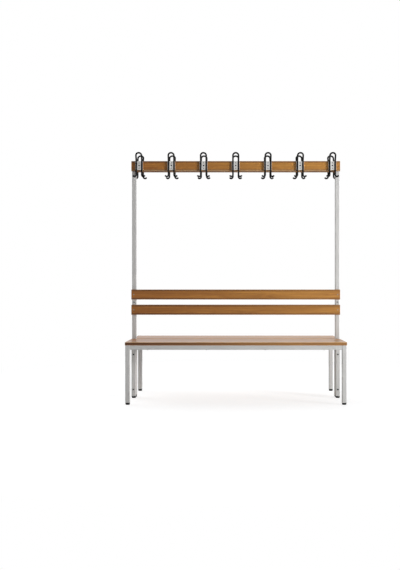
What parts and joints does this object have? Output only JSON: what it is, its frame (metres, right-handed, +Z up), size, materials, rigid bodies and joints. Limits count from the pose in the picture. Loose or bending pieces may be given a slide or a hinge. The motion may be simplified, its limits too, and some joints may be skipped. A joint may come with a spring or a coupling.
{
  "type": "changing room bench",
  "caption": "Free-standing double sided changing room bench: steel tube frame on levelling feet, wooden seats and backs, and a hook rail with wire coat hooks on both faces.",
  "frame": {"origin": "on the floor, in the middle of the bench in length and depth", "axes": "+X along the bench to the right as seen from the front, +Y across it to the rear, +Z up"},
  "size_m": [1.505, 0.73, 1.7666],
  "materials": {
    "grey_tube_paint": "satin light grey powder coat",
    "lacquered_beech": "clear satin lacquer on warm brown timber",
    "black_wire_coating": "satin black coating on steel wire",
    "satin_plate_steel": "satin bright steel",
    "zinc_steel": "bright zinc plate",
    "black_bolt_steel": "black oxide",
    "black_plastic": "moulded, fine grain",
    "foot_plastic": "moulded, scuffed underneath"
  },
  "bodies": {
    "frame": {"back_board_front_lower": "lacquered_beech", "back_board_front_upper": "lacquered_beech", "back_board_rear_lower": "lacquered_beech", "back_board_rear_upper": "lacquered_beech", "board_screws": "zinc_steel", "clamp_bolts": "black_bolt_steel", "end_rail_front_left": "grey_tube_paint", "end_rail_front_right": "grey_tube_paint", "end_rail_rear_left": "grey_tube_paint", "end_rail_rear_right": "grey_tube_paint", "hole_plugs": "black_plastic", "hook_bolts": "black_bolt_steel", "hook_plates_front": "satin_plate_steel", "hook_plates_rear": "satin_plate_steel", "hook_rail_front": "lacquered_beech", "hook_rail_rear": "lacquered_beech", "hook_wires_1": "black_wire_coating", "hook_wires_2": "black_wire_coating", "hook_wires_3": "black_wire_coating", "hook_wires_4": "black_wire_coating", "hook_wires_5": "black_wire_coating", "hook_wires_6": "black_wire_coating", "hook_wires_7": "black_wire_coating", "leg_front_inner_left": "grey_tube_paint", "leg_front_inner_right": "grey_tube_paint", "leg_front_outer_left": "grey_tube_paint", "leg_front_outer_right": "grey_tube_paint", "leg_plugs": "black_plastic", "leg_rear_inner_left": "grey_tube_paint", "leg_rear_inner_right": "grey_tube_paint", "leg_rear_outer_left": "grey_tube_paint", "leg_rear_outer_right": "grey_tube_paint", "long_rail_front_inner": "grey_tube_paint", "long_rail_front_outer": "grey_tube_paint", "long_rail_rear_inner": "grey_tube_paint", "long_rail_rear_outer": "grey_tube_paint", "rail_stubs": "grey_tube_paint", "seat_board_front": "lacquered_beech", "seat_board_rear": "lacquered_beech", "seat_screws": "zinc_steel", "spacer_sleeves": "zinc_steel", "upright_caps": "black_plastic", "upright_left": "grey_tube_paint", "upright_right": "grey_tube_paint"},
    "foot_front_outer_left": {"foot_pad_front_outer_left": "foot_plastic", "foot_stud_front_outer_left": "zinc_steel"},
    "foot_front_outer_right": {"foot_pad_front_outer_right": "foot_plastic", "foot_stud_front_outer_right": "zinc_steel"},
    "foot_front_inner_left": {"foot_pad_front_inner_left": "foot_plastic", "foot_stud_front_inner_left": "zinc_steel"},
    "foot_front_inner_right": {"foot_pad_front_inner_right": "foot_plastic", "foot_stud_front_inner_right": "zinc_steel"},
    "foot_rear_inner_left": {"foot_pad_rear_inner_left": "foot_plastic", "foot_stud_rear_inner_left": "zinc_steel"},
    "foot_rear_inner_right": {"foot_pad_rear_inner_right": "foot_plastic", "foot_stud_rear_inner_right": "zinc_steel"},
    "foot_rear_outer_left": {"foot_pad_rear_outer_left": "foot_plastic", "foot_stud_rear_outer_left": "zinc_steel"},
    "foot_rear_outer_right": {"foot_pad_rear_outer_right": "foot_plastic", "foot_stud_rear_outer_right": "zinc_steel"}
  },
  "joints": [
    {"name": "foot_front_outer_left_screw", "type": "slide", "parent": "frame", "child": "foot_front_outer_left", "axis": [0, 0, -1], "range_m": [0, 0.012]},
    {"name": "foot_front_outer_right_screw", "type": "slide", "parent": "frame", "child": "foot_front_outer_right", "axis": [0, 0, -1], "range_m": [0, 0.012]},
    {"name": "foot_front_inner_left_screw", "type": "slide", "parent": "frame", "child": "foot_front_inner_left", "axis": [0, 0, -1], "range_m": [0, 0.012]},
    {"name": "foot_front_inner_right_screw", "type": "slide", "parent": "frame", "child": "foot_front_inner_right", "axis": [0, 0, -1], "range_m": [0, 0.012]},
    {"name": "foot_rear_inner_left_screw", "type": "slide", "parent": "frame", "child": "foot_rear_inner_left", "axis": [0, 0, -1], "range_m": [0, 0.012]},
    {"name": "foot_rear_inner_right_screw", "type": "slide", "parent": "frame", "child": "foot_rear_inner_right", "axis": [0, 0, -1], "range_m": [0, 0.012]},
    {"name": "foot_rear_outer_left_screw", "type": "slide", "parent": "frame", "child": "foot_rear_outer_left", "axis": [0, 0, -1], "range_m": [0, 0.012]},
    {"name": "foot_rear_outer_right_screw", "type": "slide", "parent": "frame", "child": "foot_rear_outer_right", "axis": [0, 0, -1], "range_m": [0, 0.012]}
  ]
}
